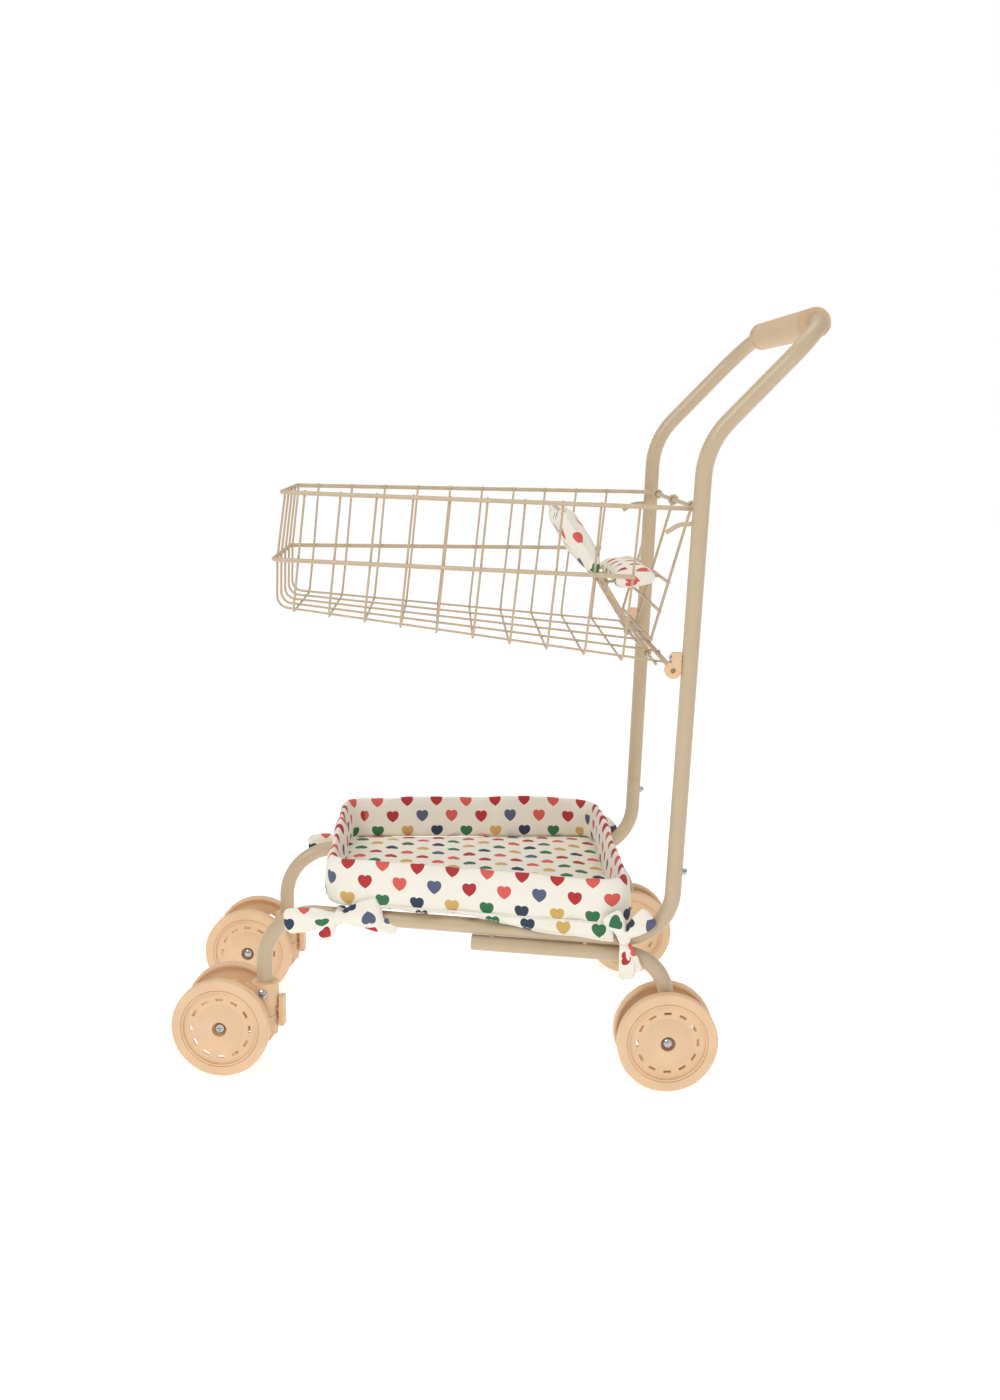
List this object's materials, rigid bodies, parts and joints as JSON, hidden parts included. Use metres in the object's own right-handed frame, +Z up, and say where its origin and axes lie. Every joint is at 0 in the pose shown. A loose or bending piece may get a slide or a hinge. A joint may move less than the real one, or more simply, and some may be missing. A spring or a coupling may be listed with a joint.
{
  "type": "toy shopping cart",
  "caption": "Small toy shopping cart: bent tube frame, wire basket with a folding doll seat, padded fabric tray below, and four twin wheels.",
  "frame": {"origin": "on the floor, midway between the rear wheel pairs and under their axle", "axes": "+X to the left side of the cart, +Y to its rear (the handle end), +Z up"},
  "size_m": [0.308, 0.4874, 0.572],
  "materials": {
    "frame_paint": "semi-gloss",
    "peach_plastic": "satin",
    "grip_plastic": "matte",
    "zinc_steel": "bright",
    "cream_fabric": "matte woven",
    "print_fabric": "matte woven with a small heart print"
  },
  "bodies": {
    "frame": {"handle_tube": "frame_paint", "handle_grip": "grip_plastic", "left_side_tube": "frame_paint", "right_side_tube": "frame_paint", "left_rear_leg": "frame_paint", "right_rear_leg": "frame_paint", "leg_weld_pegs": "frame_paint", "snap_springs": "zinc_steel", "shelf_wires": "frame_paint", "shelf_board": "cream_fabric", "bed_tray": "print_fabric", "front_left_bow": "cream_fabric", "front_right_bow": "cream_fabric", "rear_left_bow": "cream_fabric", "rear_right_bow": "cream_fabric", "basket_top_rim": "frame_paint", "basket_mid_rim": "frame_paint", "basket_cross_wires": "frame_paint", "basket_long_wires": "frame_paint", "basket_rear_rod": "frame_paint", "basket_pivot_wire": "frame_paint", "basket_clips": "peach_plastic", "clip_screws": "zinc_steel", "bag_hooks": "frame_paint", "left_swivel_bush": "peach_plastic", "right_swivel_bush": "peach_plastic", "left_rear_axle": "zinc_steel", "right_rear_axle": "zinc_steel", "left_rear_nut": "zinc_steel", "right_rear_nut": "zinc_steel"},
    "left_button": {"left_snap_button": "zinc_steel"},
    "right_button": {"right_snap_button": "zinc_steel"},
    "gate": {"seat_gate": "frame_paint"},
    "seat_back": {"seat_back_frame": "frame_paint", "back_cushion": "print_fabric"},
    "seat_base": {"seat_base_frame": "frame_paint", "seat_cushion": "print_fabric"},
    "left_caster": {"left_caster_housing": "peach_plastic", "left_caster_screw": "zinc_steel", "left_front_axle": "zinc_steel", "left_front_nut": "zinc_steel"},
    "right_caster": {"right_caster_housing": "peach_plastic", "right_caster_screw": "zinc_steel", "right_front_axle": "zinc_steel", "right_front_nut": "zinc_steel"},
    "left_lock": {"left_swivel_lock": "peach_plastic"},
    "right_lock": {"right_swivel_lock": "peach_plastic"},
    "front_left_outer_wheel": {"front_left_outer_wheel": "peach_plastic"},
    "front_left_inner_wheel": {"front_left_inner_wheel": "peach_plastic"},
    "front_right_outer_wheel": {"front_right_outer_wheel": "peach_plastic"},
    "front_right_inner_wheel": {"front_right_inner_wheel": "peach_plastic"},
    "rear_left_outer_wheel": {"rear_left_outer_wheel": "peach_plastic"},
    "rear_left_inner_wheel": {"rear_left_inner_wheel": "peach_plastic"},
    "rear_right_outer_wheel": {"rear_right_outer_wheel": "peach_plastic"},
    "rear_right_inner_wheel": {"rear_right_inner_wheel": "peach_plastic"}
  },
  "joints": [
    {"name": "gate_swing", "type": "hinge", "parent": "frame", "child": "gate", "pos_m": [0, 0.01742, 0.43], "axis": [1, 0, 0], "range_deg": [0, 14]},
    {"name": "seat_back_fold", "type": "hinge", "parent": "frame", "child": "seat_back", "pos_m": [0, -0.01, 0.31732], "axis": [1, 0, 0], "range_deg": [-12, 0]},
    {"name": "seat_base_fold", "type": "hinge", "parent": "seat_back", "child": "seat_base", "pos_m": [0, -0.04221, 0.37029], "axis": [1, 0, 0], "range_deg": [0, 48]},
    {"name": "left_swivel", "type": "hinge", "parent": "frame", "child": "left_caster", "pos_m": [0.09, -0.3025, 0], "axis": [0, 0, 1], "continuous": true},
    {"name": "left_lock_slide", "type": "slide", "parent": "left_caster", "child": "left_lock", "axis": [0, 0, 1], "range_m": [-0.003, 0]},
    {"name": "left_button_press", "type": "slide", "parent": "frame", "child": "left_button", "axis": [0, 1, 0], "range_m": [-0.002, 0], "stiffness_N_per_m": 200},
    {"name": "front_left_outer_spin", "type": "hinge", "parent": "left_caster", "child": "front_left_outer_wheel", "pos_m": [0.08634, -0.33228, 0.0375], "axis": [0.9925, -0.1219, 0], "continuous": true},
    {"name": "rear_left_outer_spin", "type": "hinge", "parent": "frame", "child": "rear_left_outer_wheel", "pos_m": [0.134, 0, 0.0375], "axis": [1, 0, 0], "continuous": true},
    {"name": "front_left_inner_spin", "type": "hinge", "parent": "left_caster", "child": "front_left_inner_wheel", "pos_m": [0.08634, -0.33228, 0.0375], "axis": [0.9925, -0.1219, 0], "continuous": true},
    {"name": "rear_left_inner_spin", "type": "hinge", "parent": "frame", "child": "rear_left_inner_wheel", "pos_m": [0.134, 0, 0.0375], "axis": [1, 0, 0], "continuous": true},
    {"name": "right_swivel", "type": "hinge", "parent": "frame", "child": "right_caster", "pos_m": [-0.09, -0.3025, 0], "axis": [0, 0, 1], "continuous": true},
    {"name": "right_lock_slide", "type": "slide", "parent": "right_caster", "child": "right_lock", "axis": [0, 0, 1], "range_m": [-0.003, 0]},
    {"name": "right_button_press", "type": "slide", "parent": "frame", "child": "right_button", "axis": [0, 1, 0], "range_m": [-0.002, 0], "stiffness_N_per_m": 200},
    {"name": "front_right_outer_spin", "type": "hinge", "parent": "right_caster", "child": "front_right_outer_wheel", "pos_m": [-0.09366, -0.33228, 0.0375], "axis": [0.9925, -0.1219, 0], "continuous": true},
    {"name": "rear_right_outer_spin", "type": "hinge", "parent": "frame", "child": "rear_right_outer_wheel", "pos_m": [-0.134, 0, 0.0375], "axis": [1, 0, 0], "continuous": true},
    {"name": "front_right_inner_spin", "type": "hinge", "parent": "right_caster", "child": "front_right_inner_wheel", "pos_m": [-0.09366, -0.33228, 0.0375], "axis": [0.9925, -0.1219, 0], "continuous": true},
    {"name": "rear_right_inner_spin", "type": "hinge", "parent": "frame", "child": "rear_right_inner_wheel", "pos_m": [-0.134, 0, 0.0375], "axis": [1, 0, 0], "continuous": true}
  ],
  "couplings": [
    {"joint": "seat_base_fold", "follows": "seat_back_fold", "ratio": -4}
  ]
}
